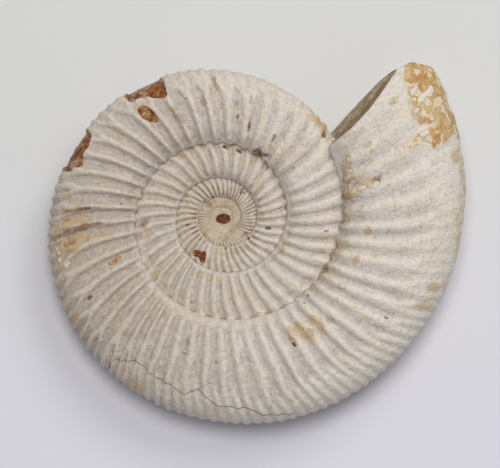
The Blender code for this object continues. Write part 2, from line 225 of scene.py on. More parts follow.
# Soft stains: as above, with their strength last
OCHRE = (
    (17, 0.53, 4.5, 1.6, 0.8), (8, 0.515, 4, 1.3, 0.7), (-3, 0.51, 4, 1, 0.6), (-14, 0.515, 3.5, 1.3, 0.7),
    (-26, 0.515, 4, 1.2, 0.6), (-36, 0.51, 4, 1, 0.55), (-48.5, 0.64, 1.5, 3.2, 0.8),
    (-54.5, 0.635, 1.6, 3, 0.9), (-59, 0.62, 1.4, 2.4, 0.7), (14.8, 0.97, 1.9, 0.9, 1),
    (4, 0.99, 14, 1.3, 0.6), (30, 0.99, 6, 1.6, 0.9), (-18.5, 0.95, 1.7, 1.4, 0.9),
    (-24, 0.94, 1.6, 2, 0.8), (31.5, 0.62, 1, 2, 0.5), (26, 0.64, 0.8, 1.2, 0.8),
    (23.5, 0.545, 1.8, 0.9, 0.9), (20, 0.62, 0.7, 1.5, 0.7), (15, 0.565, 1.7, 1.6, 0.9),
    (12, 0.6, 1.5, 1.4, 0.8), (10, 0.56, 1.3, 1.2, 0.7), (0, 0.58, 0.8, 1.3, 0.6), (-6, 0.61, 1.3, 1, 1),
    (-18, 0.6, 1.2, 1.1, 1), (-21, 0.56, 0.7, 2, 0.6), (-28, 0.55, 1, 0.9, 0.6), (-33, 0.57, 0.8, 1.6, 0.5),
    (-36, 0.65, 0.7, 3, 0.45), (-37.5, 0.75, 0.8, 2.5, 0.45), (33.5, 0.8, 0.9, 1.5, 0.7),
    (-163, 0.93, 3.5, 2.2, 0.5), (-169.5, 0.85, 1.8, 4.5, 1), (-171, 0.72, 0.6, 4, 0.8),
    (-178, 0.86, 1.6, 3.5, 0.9), (-174.5, 0.93, 2.6, 1.6, 0.8), (-184.5, 0.88, 1.6, 3, 0.6),
    (-189, 0.87, 0.5, 3, 0.5), (-211, 0.82, 1.6, 1.6, 0.5), (-218, 0.82, 1.8, 1.2, 0.6),
    (-157, 0.95, 2, 1.2, 0.7), (-150.5, 0.95, 1.5, 1.2, 0.6), (-145, 0.95, 1.6, 1.2, 0.7),
    (-117.5, 0.965, 1.8, 1.2, 0.95), (-104, 0.98, 1.6, 0.6, 0.5), (-75.5, 0.92, 0.8, 2, 0.45),
    (-69, 0.93, 0.8, 2.2, 0.45), (-314, 0.97, 1.4, 1, 0.9), (-318.8, 0.97, 1.6, 1.3, 1),
    (-312, 0.66, 0.9, 2.2, 0.6), (-319, 0.7, 0.8, 2.2, 0.7), (-334, 0.8, 0.6, 0.8, 0.5),
    (-372, 0.83, 0.5, 0.8, 0.9), (-378, 0.85, 0.5, 0.7, 0.9), (-385, 0.55, 5, 0.7, 0.7),
    (-451, 0.6, 0.5, 1.2, 0.8), (-460, 0.57, 0.7, 0.9, 0.8), (-472, 0.58, 0.9, 0.8, 0.8),
    (-478.5, 0.83, 0.5, 0.9, 0.9), (-489, 0.87, 0.8, 0.9, 0.9), (-499, 0.86, 0.9, 0.6, 0.9),
    (-506, 0.82, 0.4, 0.8, 0.8), (-513, 0.83, 1.2, 0.6, 0.6), (-525, 0.8, 0.8, 1.2, 0.7),
    (-487, 0.6, 1, 1, 0.6), (-595, 0.88, 1.2, 0.6, 0.7), (-606, 0.85, 0.9, 0.7, 0.6),
    (-658, 0.82, 0.9, 1.2, 0.7), (-666, 0.85, 0.9, 0.8, 0.7), (-679.5, 0.68, 1, 1.6, 0.7),
    (-687, 0.88, 0.8, 0.5, 0.6), (-716, 0.58, 2, 0.7, 0.8), (-785, 0.6, 3, 0.8, 0.5),
    (-815, 0.62, 2.5, 0.8, 0.6), (-852, 0.68, 1.2, 0.8, 0.6),
)
RUST = (
    (-1118, 0.81, 0.9, 0.5, 0.9), (-1216, 0.86, 1.8, 0.5, 0.6), (-1303, 0.79, 1.2, 0.7, 0.7),
    (17, 0.515, 1.5, 0.4, 0.7), (11, 0.505, 2, 0.4, 0.7), (2, 0.503, 1.6, 0.35, 0.7),
    (-17, 0.505, 1.6, 0.35, 0.6), (-27, 0.503, 1.2, 0.3, 0.6), (-535, 0.835, 0.5, 0.6, 0.7),
    (-174.6, 0.86, 0.9, 4.6, 0.95), (-176.4, 0.76, 0.6, 3.4, 1), (-183.2, 0.82, 0.5, 4.2, 0.9),
    (-170, 0.87, 0.8, 2, 0.7), (21, 0.605, 0.5, 1.4, 0.7), (13.5, 0.645, 0.7, 1.2, 0.8),
    (15.5, 0.535, 0.8, 0.5, 0.7), (6, 0.535, 0.6, 0.5, 0.6), (-6, 0.6, 0.6, 0.4, 0.7),
    (-30, 0.83, 0.5, 0.8, 0.5), (-294, 0.985, 0.8, 0.4, 0.4), (-166, 0.9, 0.4, 2, 0.5),
    (-179, 0.89, 0.4, 1.2, 0.6),
)
OLIVE = (
    (-60, 0.655, 0.7, 1.6, 0.9), (-52, 0.66, 0.6, 1.6, 0.6), (9, 0.52, 1, 0.9, 1.3),
    (-535, 0.84, 0.9, 1.3, 1), (-43.5, 0.66, 0.9, 1.3, 0.7), (-266.8, 0.905, 0.5, 1.8, 1),
    (-268.8, 0.86, 0.5, 0.9, 0.9), (-261, 0.77, 0.7, 1.6, 0.8), (-277.5, 0.78, 0.6, 0.8, 0.9),
    (-279, 0.68, 0.5, 1.2, 0.6), (-284, 0.83, 0.45, 1.4, 0.7), (-286.8, 0.66, 0.6, 1.8, 0.7),
    (-303.5, 0.66, 0.6, 1.8, 0.6), (-246.5, 0.71, 0.9, 2.6, 0.8), (-619.5, 0.8, 0.5, 1.2, 0.9),
    (-104.5, 0.66, 0.9, 2.2, 0.6), (-129, 0.78, 1, 1, 0.5), (-135, 0.58, 1, 1, 0.4),
)
PALE = (
    (30, 0.5, 3.6, 1.2, 1), (23, 0.5, 2.6, 0.9, 0.9), (-1674, 0.53, 0.7, 0.3, 0.6),
    (-1717, 0.68, 0.7, 0.3, 0.6), (-1752, 0.84, 0.7, 0.3, 0.6), (-1056, 0.52, 1, 0.7, 0.6),
    (-1051, 0.62, 0.9, 0.7, 0.5),
)
STAIN_FADE = (1.5, 0.5)  # of a stain's half size, between which it sets in
# Cracks: the angle and the share of each bend
CRACKS = (
    ((-70, 0.98), (-76, 0.965), (-79.5, 0.95), (-82, 0.92), (-86, 0.92), (-88, 0.912),
     (-90, 0.92), (-93, 0.905), (-96, 0.87), (-98, 0.855), (-100.5, 0.88), (-102.7, 0.9),
     (-105, 0.882), (-109, 0.872), (-114, 0.868), (-118, 0.86), (-121, 0.858),
     (-123.5, 0.89), (-127, 0.925)),
)
FAINT_CRACKS = (
    ((-240, 0.77), (-247, 0.67), (-254, 0.655)),
    ((-257.5, 0.67), (-262, 0.715), (-269, 0.725)),
    ((-98, 0.855), (-95, 0.82), (-91, 0.8), (-87, 0.765), (-83, 0.75)),
    ((-247.3, 0.96), (-247, 0.8), (-248.5, 0.66)),
    ((33, 0.71), (26, 0.695), (22, 0.735), (15, 0.775)),
    ((9, 0.7), (1, 0.71), (-6, 0.695)),
    ((5, 0.79), (-3, 0.825), (-9, 0.84)),
    ((24, 0.6), (17, 0.6)),
    ((-28, 0.86), (-36, 0.865)),
    ((-121, 0.858), (-126, 0.84), (-129, 0.9), (-136, 0.915)),
    ((-84, 0.56), (-93, 0.53), (-101, 0.59)),
)
NEAR_CRACK = (0.9, 0.4)  # mm from a crack, between which its line can show
CRACK_REACH = 2.0  # mm from a crack, beyond which its distance isn't told apart
CLEAR_MARKS = {  # marks with a clear edge: their places, and how jagged that edge is
    "chip": (FLANK_CHIPS, 0.5), "amber": (AMBER, 0.0), "gap": (GAPS, 0.7), "crust": (CRUST, 1.0),
    "crazed": (CRAZED, 0.0), "nodule": (NODULES, 0.25), "dot": (DOTS, 0.0),
}
STAINS = {  # places, sRGB colour and depth, in the order in which they are laid on
    "pale": (PALE, (250, 246, 240), 0.85), "olive": (OLIVE, (156, 134, 90), 0.75),
    "ochre": (OCHRE, (206, 176, 124), 0.8), "rust": (RUST, (146, 96, 54), 0.85),
}
CRACK_LINES = {"crack": (CRACKS, 0.095, 0.85), "faint_crack": (FAINT_CRACKS, 0.08, 0.28)}  # width, depth
COIL_LENGTH = 6.96  # length of the coil along the flank up to a place, over the spiral's radius there
# How brown the shell is, by angle
AGEING = (
    (-1900, 1.1), (-960, 1.05), (-850, 0.95), (-800, 0.6), (-690, 0.5), (-600, 0.9), (-500, 0.65),
    (-420, 0.3), (-330, 0.25), (-300, 0.4), (-270, 0.3), (-240, 0.8), (-210, 0.6), (-180, 1.1), (-150, 0.9),
    (-120, 0.8), (-90, 0.35), (-60, 0),
)


def smooth_step(low, high, value):
    share = np.clip((value - low) / (high - low), 0, 1)
    return share * share * (3 - 2 * share)


def knots(value, pairs):
    """Read from a list of places and values."""
    places, values = zip(*sorted(pairs))
    return np.interp(value, places, values)


# ---------------- noise on arrays

AXIS_FACTORS = (374761393, 668265263, 2246822519)  # large odd numbers that tell the axes apart
SEED_FACTOR, SEED_START = 3266489, 97
MIXING = ((13, 1274126177), (16, 1), (11, 2654435761), (15, 1))  # bits to shift by, and a factor
LARGEST = 2.0**32 - 1


def lattice(ix, iy, iz, seed):
    """A repeatable number from 0 to 1 for each whole-numbered place."""
    x, y, z = (axis.astype(np.uint32) * np.uint32(factor) for axis, factor in zip((ix, iy, iz), AXIS_FACTORS))
    mixed = x ^ y ^ (z + np.uint32(seed * SEED_FACTOR + SEED_START))
    for bits, factor in MIXING:
        mixed = (mixed ^ (mixed >> np.uint32(bits))) * np.uint32(factor)
    return mixed.astype(np.float64) / LARGEST


def noise(points, cell, seed):
    """Smooth noise from -1 to 1 with cells of a given size."""
    at = points / cell
    low = np.floor(at).astype(np.int64)
    part = at - low
    part = part * part * (3 - 2 * part)
    total = np.zeros(len(points))
    for corner in range(8):
        steps = np.array((corner & 1, corner >> 1 & 1, corner >> 2 & 1))
        weight = np.where(steps, part, 1 - part).prod(axis=1)
        total += weight * lattice(*(low + steps).T, seed)
    return total * 2 - 1


def layered(points, *layers):
    return sum(amount * noise(points, cell, seed) for amount, cell, seed in layers)


# ---------------- the shell's form

MIDDLE_TURN = math.pi / 2  # the section's turn at the middle of the back
TURN_STEP = 1e-4
SECTION_SAMPLES = 2000


def spiral_radius(angle):
    return knots(angle, WORN) * END_RADIUS * EXPANSION ** ((angle - END_ANGLE) / 360)


def section_point(turn):
    """Share and height on the upper half section, as in the part."""
    squareness = np.where(turn < 0, UMBILICAL_SQUARENESS, VENTER_SQUARENESS)
    reach = np.where(turn < 0, DORSAL_SHARE - CREST_SHARE, 1.0 - CREST_SHARE)
    across = np.abs(np.sin(turn)) ** (2 / squareness)
    up = np.abs(np.cos(turn)) ** (2 / squareness)
    return CREST_SHARE + reach * across, HALF_THICKNESS * up


def outer_turn(share):
    across = (share - CREST_SHARE) / (1.0 - CREST_SHARE)
    return math.asin(across ** (VENTER_SQUARENESS / 2))


def seam_turn():
    height = section_point(outer_turn(COVERED_SHARE))[1] / EXPANSION
    return -math.acos((height / HALF_THICKNESS) ** (UMBILICAL_SQUARENESS / 2))


def along_line(points):
    """How far along their line some points lie, from 0 to 1."""
    steps = np.linalg.norm(np.diff(points, axis=0), axis=1)
    length = np.concatenate([[0.0], np.cumsum(steps)])
    return length / length[-1]


def spaced_rows(first, last, count):
    """Turns of the section that are spaced evenly along it."""
    turns = np.linspace(first, last, SECTION_SAMPLES)
    along = along_line(np.stack(section_point(turns), axis=1))
    return np.interp(np.linspace(0.0, 1.0, count + 1), along, turns)


def section_normal(turn):
    turn = np.minimum(turn, MIDDLE_TURN - 10 * TURN_STEP)
    behind = section_point(turn - TURN_STEP)
    ahead = section_point(turn + TURN_STEP)
    out, up = behind[1] - ahead[1], ahead[0] - behind[0]
    length = np.hypot(out, up)
    return out / length, up / length


def lean_at(share):
    """How far forward a rib stands at a share, from where it crosses the middle of the flank."""
    off_middle = share - MID_FLANK
    return LEAN * off_middle + LEAN_BEND * off_middle**2


def rib_angle(rib, share):
    return knots(rib, RIB_ANCHORS) + lean_at(share)


def end_angle(share, side):
    slant = np.interp(share, END_SHARES, END_SLANT)
    return np.interp(share, END_SHARES, END_UPPER) + np.where(side < 0, slant, 0.0)


def skin_angle(rib, share, side):
    """Angle of a place on the skin: along the rib, or along the break near the broken end."""
    near_end = np.maximum(0.0, 1 - rib / END_RIBS)
    return rib_angle(rib, share) + near_end * (end_angle(share, side) - rib_angle(0, share))


rng = np.random.default_rng(SEED)
RIB_LIFT = 1 + LIFT_SPREAD * rng.uniform(-1, 1, RIB_COUNT)
RIB_SHIFT = SHIFT_SPREAD * rng.uniform(-1, 1, RIB_COUNT)
RIB_FORK = rng.uniform(*FORK_STARTS, RIB_COUNT)
BRANCH_LIFT = 1 + BRANCH_SPREAD * rng.uniform(-1, 1, (RIB_COUNT, 2))


def rib_crests(rib, angle, share, waver):
    """From 0 in a groove to 1 on a crest, and how far the rib has forked, from 0 to 1."""
    number = np.clip(np.floor(rib).astype(int), 0, RIB_COUNT - 1)
    at = rib - number
    middle = 0.5 + RIB_SHIFT[number] + waver - knots(angle, CREST_SKEWS)
    at = np.where(at < middle, 0.5 * at / middle, 0.5 + 0.5 * (at - middle) / (1 - middle))
    start = RIB_FORK[number]
    fork = np.where(angle > END_ANGLE - 360, smooth_step(start, start + FORK_LENGTH, share), 0.0)
    new = knots(angle, NEW_RIBS)
    drift = new * smooth_step(start + DRIFT_REACH[0], start + DRIFT_REACH[1], share)
    form = knots(angle, CREST_FORMS)
    crest = np.zeros(len(rib))
    rear_shift = BRANCH_SHIFT * (fork * (1 - new) + drift)
    front_shift = BRANCH_SHIFT * (fork * (1 - new) + new)
    rear_half = 0.5 - BRANCH_SHIFT * np.maximum(fork, drift)
    front_half = (1 - new) * rear_half + new * BRANCH_SHIFT
    front_lift = 1 - new * (1 - fork)
    branches = ((0, 0.5 + rear_shift, rear_half, 1.0), (1, 0.5 - front_shift, front_half, front_lift))
    for branch, centre, half_width, lift in branches:
        off = np.abs(at - centre)
        off = np.minimum(np.minimum(off, 1 - off), half_width)
        lift = lift * (1 + (BRANCH_LIFT[number, branch] - 1) * fork)
        crest = np.maximum(crest, lift * (0.5 + 0.5 * np.cos(math.pi * off / half_width)) ** form)
    return crest, fork


def in_space(angle, out, level):
    around = np.radians(angle)
    return np.stack([out * np.cos(around), out * np.sin(around), level], axis=1)


class Skin:
    """Places on the skin, before laying down, and what the material has to know of each."""

    def __init__(self, rib, turn, side):
        self.rib, self.turn, self.side = rib, turn, side
        self.share, self.height = section_point(turn)
        self.angle = skin_angle(rib, self.share, side)
        self.radius = spiral_radius(self.angle)
        self.scale = self.radius / MM
        self.smooth = in_space(self.angle, self.radius * self.share, side * self.radius * self.height)
        self.upper = side > 0
        self.over = np.where(self.upper, self.share, 2 - self.share)  # goes on past the back's middle
        self.covered = self.angle < END_ANGLE - 360
        self.marks = {}
        self.find_marks()
        self.places = self.raised()

    def reach(self, at, across, half_length, half_height):
        """How far out each point is from the middle of an oval place, whose border is at 1."""
        along = np.radians(self.angle - lean_at(self.share) - (at - lean_at(across))) * across
        return np.hypot(along / half_length, (self.over - across) / half_height) * self.scale

    def inside(self, places):
        """Millimetres inside the nearest of some oval places, or minus how far outside."""
        best = np.full(len(self.rib), OUTSIDE)
        for place in places:
            best = np.maximum(best, (1 - self.reach(*place)) * min(place[2:]))
        return best

    def stained(self, stains):
        """How strongly some soft stains colour each point, from 0 to 1."""
        best = np.zeros(len(self.rib))
        for *place, strength in stains:
            best = np.maximum(best, strength * smooth_step(*STAIN_FADE, self.reach(*place)))
        return best

    def inside_edge_chips(self):
        best = np.full(len(self.rib), OUTSIDE)
        for border in EDGE_CHIPS:
            first, last = border[0][0], border[-1][0]
            midway = np.sin(math.pi * np.clip((self.angle - first) / (last - first), 0, 1))
            reach = EDGE_CHIP_REACH[0] + EDGE_CHIP_REACH[1] * midway
            depth = np.minimum(self.over - knots(self.angle, border), reach - self.over)
            best = np.maximum(best, depth * self.scale)
        return best

    def off_cracks(self, cracks):
        """Signed distance to the nearest crack in mm, and 1 near it or 0 away from it."""
        nearest = np.full(len(self.rib), APART)
        signed = np.full(len(self.rib), APART)
        for crack in cracks:
            bends = [
                (np.radians(at - self.angle) * self.scale * self.share, (across - self.share) * self.scale)
                for at, across in crack
            ]
            for (ax, ay), (bx, by) in zip(bends, bends[1:]):
                ex, ey = bx - ax, by - ay
                part = np.clip(-(ax * ex + ay * ey) / (ex**2 + ey**2), 0, 1)
                distance = np.hypot(ax + part * ex, ay + part * ey)
                closer = distance < nearest
                nearest = np.where(closer, distance, nearest)
                signed = np.where(closer, distance * np.sign(ax * ey - ay * ex), signed)
        near = np.where(self.upper, smooth_step(*NEAR_CRACK, nearest), 0.0)
        return np.clip(signed, -CRACK_REACH, CRACK_REACH), near

    def find_marks(self):
        flat, marks = self.smooth, self.marks
        jagged = layered(flat, *JAGGED_EDGES)
        marks["edge_chip"] = self.inside_edge_chips() + jagged
        for name, (places, jaggedness) in CLEAR_MARKS.items():
            marks[name] = self.inside(places) + jaggedness * jagged
        for name, (stains, *_) in STAINS.items():
            marks[name] = self.stained(stains)
        for name, (cracks, *_) in CRACK_LINES.items():
            marks[name], marks["near_" + name] = self.off_cracks(cracks)
        from_wall = (self.share - section_point(np.array(seam_turn()))[0]) * self.scale
        from_edge = np.where(self.covered, (COVERED_SHARE - self.share) * self.scale, APART)
        marks["seam"] = np.minimum(from_wall, from_edge)
        marks["ageing"] = knots(self.angle, AGEING)
        marks["over"] = self.over
        marks["from_centre"] = np.hypot(flat[:, 0], flat[:, 1]) / MM
        from_pit = np.hypot(flat[:, 0], PIT_SQUASH * (flat[:, 1] + PIT_DROP)) / MM
        marks["from_pit"] = np.where(self.upper, from_pit, FAR)
        # A grain that runs along the ribs: millimetres along the coil, then across the whorl
        along = spiral_radius(knots(self.rib, RIB_ANCHORS)) / MM * COIL_LENGTH
        self.grain = np.stack([along, self.over * self.scale, np.zeros(len(along))], axis=1)

    def rib_height(self, fork):
        """Height of the ribs as a share of the radius, with all that takes from it."""
        flat, marks = self.smooth, self.marks
        number = np.clip(np.floor(self.rib).astype(int), 0, RIB_COUNT - 1)
        wall_top = knots(self.angle, WALL_TOPS)
        height = knots(self.angle, RIB_HEIGHTS) * smooth_step(wall_top - WALL_HEIGHT, wall_top, self.share)
        fading = COVERED_FADE * smooth_step(COVERED_SHARE - COVERED_REACH, COVERED_SHARE, self.share)
        height *= np.where(self.covered, 1 - fading, 1.0) * RIB_LIFT[number]
        height *= 1 + layered(flat, UNEVEN_RIBS)
        patches = smooth_step(*WORN_PATCH, layered(flat, CENTRE_PATCHES))
        height *= 1 - CENTRE_WEAR * smooth_step(*WORN_CENTRE, marks["from_centre"]) * patches
        height *= 1 + smooth_step(*INNER_WHORLS, marks["from_centre"]) * layered(flat, UNEVEN_INNER_RIBS)
        height *= 1 - (1 - knots(self.angle, FORKED_HEIGHTS)) * fork
        return height * (1 - RIBS_LOST * smooth_step(*CHIPPED_RIBS, marks["edge_chip"]))

    def raised(self):
        """Ribs, unevenness, crust and chips on the smooth spiral."""
        flat, marks = self.smooth, self.marks
        relief = np.minimum(1.0, self.radius / FULL_RELIEF_RADIUS)
        crest, fork = rib_crests(self.rib, self.angle, self.share, layered(flat, RIB_WAVER))
        rib_height = self.rib_height(fork)
        marks["crest"] = crest
        marks["groove"] = (1 - crest) * np.minimum(rib_height / USUAL_RIB_HEIGHT, DEEPEST_GROOVE)
        lift = rib_height * (crest - 0.5) * self.radius
        lift += layered(flat, *UNEVEN_SKIN) * MM * relief
        crusted = smooth_step(*CRUST_FADE, self.angle) * smooth_step(*CRUST_EDGE, marks["crust"])
        lift += crusted * (CRUST_HEIGHT + layered(flat, UNEVEN_CRUST)) * MM
        lift += smooth_step(*SMALL_EDGE, marks["nodule"]) * NODULE_HEIGHT
        depths = [depth * smooth_step(*edge, marks[name]) for name, edge, depth in CHIP_DEPTHS]
        lift -= MM * np.max(depths, axis=0)
        out, up = section_normal(self.turn)
        rho = self.radius * self.share + lift * out
        level = self.side * (self.radius * self.height + lift * up)
        level = np.where(self.turn > MIDDLE_TURN - TURN_STEP, 0.0, level)
        filled = smooth_step(*SEAM_FILL, marks["seam"]) * (SEAM_HEIGHT + MM * layered(flat, UNEVEN_SEAM))
        level += self.side * filled * relief
        levelled = LEVELLING * smooth_step(*LEVELLED, rho) * self.upper
        level += levelled * (CENTRE_SLOPE * rho - level)
        ragged = MM * (marks["from_pit"] + layered(flat, RAGGED_PIT))
        pit = smooth_step(PIT_RADIUS + PIT_EDGE[0], PIT_RADIUS + PIT_EDGE[1], ragged) * self.upper
        level += pit * (PIT_FLOOR + MM * layered(flat, UNEVEN_PIT) - level)
        return in_space(self.angle, rho, level)


# ---------------- the mesh

def new_object(name, data):
    thing = bpy.data.objects.new(name, data)
    bpy.context.scene.collection.objects.link(thing)
    return thing


def sew(first, second, first_at, second_at):
    """Triangles between two lines of vertices, in the order that their places along them give."""
    faces = []
    i = k = 0
    while i < len(first) - 1 or k < len(second) - 1:
        second_ended = k == len(second) - 1
        if second_ended or (i < len(first) - 1 and first_at[i + 1] <= second_at[k + 1]):
            faces.append((first[i], second[k], first[i + 1]))
            i += 1
        else:
            faces.append((first[i], second[k], second[k + 1]))
            k += 1
    return faces


def quads(first, second):
    return [(first[k], first[k + 1], second[k + 1], second[k]) for k in range(len(first) - 1)]


def fan(tip, line):
    return [(tip, line[k], line[k + 1]) for k in range(len(line) - 1)]


class Grid:
    """The mesh of the whole skin: rows of vertices in columns that follow the ribs."""

    def __init__(self):
        self.ribs, self.turns, self.sides, self.faces = [], [], [], []
        self.centres = []  # the vertices that close the centre above and below
        wall = spaced_rows(seam_turn(), outer_turn(COVERED_SHARE), WALL_ROWS)
        venter = spaced_rows(outer_turn(COVERED_SHARE), MIDDLE_TURN, VENTER_ROWS)
        self.row_turns = np.concatenate([wall, venter[1:]])
        self.edge, self.middle = WALL_ROWS, WALL_ROWS + VENTER_ROWS
        open_angle = END_UPPER[0] - 360 - lean_at(COVERED_SHARE)
        open_rib = float(knots(open_angle, [(angle, rib) for rib, angle in RIB_ANCHORS]))
        self.columns = []  # rib, upper step, lower step
        for from_rib, to_rib, per_rib, upper_step, lower_step in BLOCKS:
            start = open_rib if from_rib is None else from_rib
            stop = math.ceil(open_rib) if to_rib is None else to_rib
            count = max(1, round((start - stop) * per_rib))
            ribs = np.linspace(start, stop, count + 1)
            if to_rib == 0:
                self.first_open = len(self.columns)
            else:
                ribs = ribs[:-1]
            self.columns += [(rib, upper_step, lower_step) for rib in ribs]
        self.build()

    def vertex(self, rib, turn, side):
        self.ribs.append(rib)
        self.turns.append(turn)
        self.sides.append(side)
        return len(self.ribs) - 1

    def build(self):
        lines = {1: [], -1: []}  # for each column, its rows and their vertices
        for column, (rib, upper_step, lower_step) in enumerate(self.columns):
            last = self.middle if column >= self.first_open else self.edge
            shared = []  # the vertex at the middle of the back
            for side, step in ((1, upper_step), (-1, lower_step)):
                rows = list(range(step, last + 1, step))
                ids = [self.vertex(rib, self.row_turns[row], side) for row in rows if row < self.middle]
                if last == self.middle and not shared:
                    shared = [self.vertex(rib, self.row_turns[last], side)]
                lines[side].append((rows, ids + shared))
        for line in lines.values():
            for (rows_a, ids_a), (rows_b, ids_b) in zip(line, line[1:]):
                last = min(rows_a[-1], rows_b[-1])
                stop_a, stop_b = rows_a.index(last) + 1, rows_b.index(last) + 1
                if rows_a[:stop_a] == rows_b[:stop_b]:
                    self.faces += quads(ids_a[:stop_a], ids_b[:stop_b])
                else:
                    self.faces += sew(ids_a[:stop_a], ids_b[:stop_b], rows_a[:stop_a], rows_b[:stop_b])
            self.sew_seam(line)
        self.cap_rims(lines)

    def sew_seam(self, line):
        """Join each whorl's first row to the edge of the whorl inside it, and close the centre."""
        ribs = [rib for rib, *_ in self.columns]
        inner = line[: self.first_open + 1]
        inner_ids = [ids[rows.index(self.edge)] for rows, ids in inner]
        inner_at = [rib_angle(rib, COVERED_SHARE) + 360 for rib in ribs[: len(inner)]]
        first_ids = [ids[0] for rows, ids in line]
        shares = [section_point(self.row_turns[rows[0]])[0] for rows, ids in line]
        first_at = [float(skin_angle(rib, share, 1)) for rib, share in zip(ribs, shares)]
        start = next(c for c, angle in enumerate(first_at) if angle >= inner_at[0])
        self.faces += sew(inner_ids, first_ids[start:], inner_at, first_at[start:])
        centre = self.vertex(LAST_RIB, 0.0, 0)
        self.faces += fan(centre, first_ids[: start + 1]) + fan(centre, [first_ids[start]] + line[0][1][::-1])
        self.centres.append(centre)

    def cap_rims(self, lines):
        def line_over(column, from_row):
            (upper_rows, upper), (lower_rows, lower) = lines[1][column], lines[-1][column]
            over = [v for row, v in zip(upper_rows, upper) if row >= from_row]
            under = [v for row, v in zip(lower_rows, lower) if from_row <= row < self.middle]
            return over + under[::-1]

        self.inner_rim = line_over(self.first_open, self.edge)
        self.outer_rim = line_over(len(self.columns) - 1, 0)


def cap(grid, places):
    """The broken face: rings between the whorl inside and the broken edge, a little rough."""
    inner, outer = grid.inner_rim, grid.outer_rim
    inner_at, outer_at = along_line(places[inner]), along_line(places[outer])
    foot = np.stack([np.interp(outer_at, inner_at, places[inner][:, k]) for k in range(3)], axis=1)
    top = places[outer]
    forward = math.radians(END_ANGLE + 90)
    facing = np.array([math.cos(forward), math.sin(forward), 0.0])
    rings, new = [], []
    for ring in range(1, CAP_RINGS):
        part = ring / CAP_RINGS
        at = foot * (1 - part) + top * part
        fade = np.minimum(1.0, FACE_FADE * part * (1 - part))
        at = at + facing * (layered(at, *ROUGH_FACE) * fade * MM)[:, None]
        start = len(places) + len(new)
        new += list(at[1:-1])
        rings.append(list(range(start, len(places) + len(new))))
    faces = sew(inner, rings[0], inner_at, outer_at[1:-1])
    rings.append(outer[1:-1])
    for first, second in zip(rings, rings[1:]):
        faces += quads(first, second)
    for end in (0, -1):
        faces += fan(outer[end], [inner[end]] + [ring[end] for ring in rings])
    new = np.array(new)
    upper_rim = top[: len(top) // 2]
    off_rim = np.linalg.norm(new[:, None] - upper_rim[None], axis=2).min(axis=1) / MM
    return new, faces, off_rim


def lay_down(places):
    towards = math.radians(LIE_TOWARDS)
    turn = Matrix.Rotation(math.radians(LIE_TILT), 3, (-math.sin(towards), math.cos(towards), 0.0))
    laid = places @ np.array(turn).T + np.array(COIL_CENTRE)
    laid[:, 2] = np.maximum(laid[:, 2], 0.0)
    return laid


# What the broken face's vertices carry, where it isn't OUTSIDE
FACE_MARKS = {
    "crest": 0.5, "groove": 0.3, "ageing": 0.0, "seam": APART, "from_centre": FAR, "from_pit": FAR,
    **dict.fromkeys(STAINS, 0.0), **dict.fromkeys(CRACK_LINES, APART),
    **{"near_" + name: 0.0 for name in CRACK_LINES},
}


def build_shell():
    grid = Grid()
    skin = Skin(*(np.array(values, float) for values in (grid.ribs, grid.turns, grid.sides)))
    places = skin.places
    above, below = grid.centres
    places[above] = (0, 0, PIT_FLOOR)
    places[below] = (0, 0, -spiral_radius(START_ANGLE) * HALF_THICKNESS * PIT_LEVEL)
    skin.marks["from_centre"][grid.centres] = 0.0
    skin.marks["from_pit"][grid.centres] = (PIT_SQUASH * PIT_DROP / MM, FAR)
    extra, cap_faces, off_rim = cap(grid, places)
    marks = {}
    for name, values in skin.marks.items():
        marks[name] = np.append(values, np.full(len(extra), FACE_MARKS.get(name, OUTSIDE)))
    marks["broken"] = np.append(np.zeros(len(places)), 1 + smooth_step(*RIM_BAND, off_rim))
    places = np.concatenate([places, extra])
    mesh = bpy.data.meshes.new("ammonite_shell")
    mesh.from_pydata(lay_down(places).tolist(), [], grid.faces + cap_faces)
    work = bmesh.new()
    work.from_mesh(mesh)
    bmesh.ops.recalc_face_normals(work, faces=work.faces)
    work.to_mesh(mesh)
    work.free()
    mesh.shade_smooth()
    for name, values in marks.items():
        mesh.attributes.new(name, "FLOAT", "POINT").data.foreach_set("value", values.astype(np.float32))
    grain = np.concatenate([skin.grain, extra / MM]).astype(np.float32)
    mesh.attributes.new("grain", "FLOAT_VECTOR", "POINT").data.foreach_set("vector", grain.ravel())
    return new_object("ammonite_shell", mesh)


# ---------------- material

def srgb(red, green, blue):
    def linear(value):
        value /= 255
        return value / 12.92 if value <= 0.04045 else ((value + 0.055) / 1.055) ** 2.4
    return linear(red), linear(green), linear(blue), 1.0


